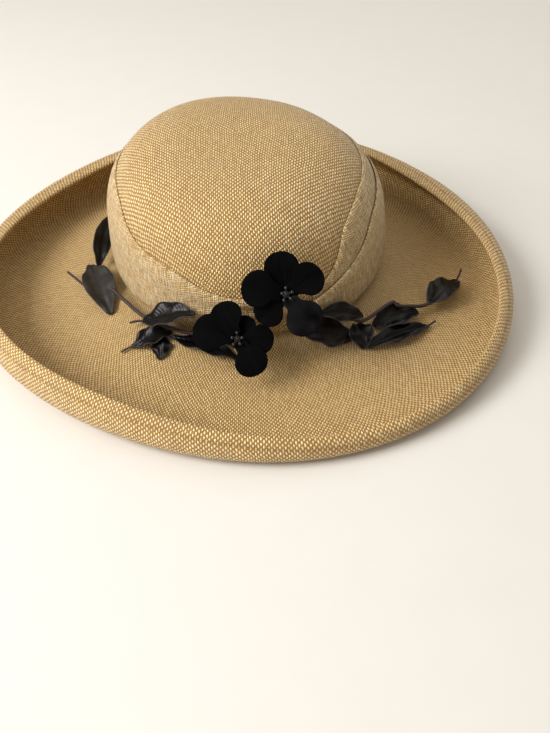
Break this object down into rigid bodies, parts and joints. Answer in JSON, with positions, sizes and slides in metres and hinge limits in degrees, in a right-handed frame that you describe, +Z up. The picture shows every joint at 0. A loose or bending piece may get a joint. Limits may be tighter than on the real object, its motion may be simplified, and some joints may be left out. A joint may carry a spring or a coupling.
{
  "type": "wide-brimmed straw hat",
  "caption": "Straw picture hat with a round crown, an upturned rolled brim, a folded cloth band and a spray of velvet flowers and wired leaves.",
  "frame": {"origin": "on the resting plane under the middle of the hat's outline", "axes": "+X to the wearer's left as seen from the front, +Y to the back of the hat, +Z up; the spray lies at the front, -Y"},
  "size_m": [0.341, 0.3378, 0.0975],
  "materials": {
    "straw": "basket-woven natural straw, slightly glossy",
    "band": "fine plain-woven straw cloth",
    "velvet": "black velvet",
    "leaf": "dark satin and organza",
    "stem": "wire wrapped in dark thread"
  },
  "bodies": {
    "root": {"crown": "straw", "brim": "straw", "band_wrap": "band", "band_fold": "band", "flower_a_centre": "stem", "flower_a_petal_1": "velvet", "flower_a_petal_2": "velvet", "flower_a_petal_3": "velvet", "flower_a_petal_4": "velvet", "flower_a_petal_5": "velvet", "flower_b_centre": "stem", "flower_b_petal_1": "velvet", "flower_b_petal_2": "velvet", "flower_b_petal_3": "velvet", "flower_b_petal_4": "velvet", "flower_b_petal_5": "velvet", "leaf_left_tip": "leaf", "leaf_left_tall": "leaf", "leaf_left_upper": "leaf", "leaf_left_fork": "leaf", "leaf_left_hanging": "leaf", "leaf_left_long": "leaf", "leaf_right_broad": "leaf", "leaf_right_back": "leaf", "leaf_right_wrap": "leaf", "leaf_right_outer": "leaf", "leaf_right_lower": "leaf", "leaf_right_end": "leaf", "stem_left": "stem", "stem_left_tip": "stem", "stem_left_twig": "stem", "stem_right": "stem", "stem_right_tip": "stem"}
  },
  "joints": []
}
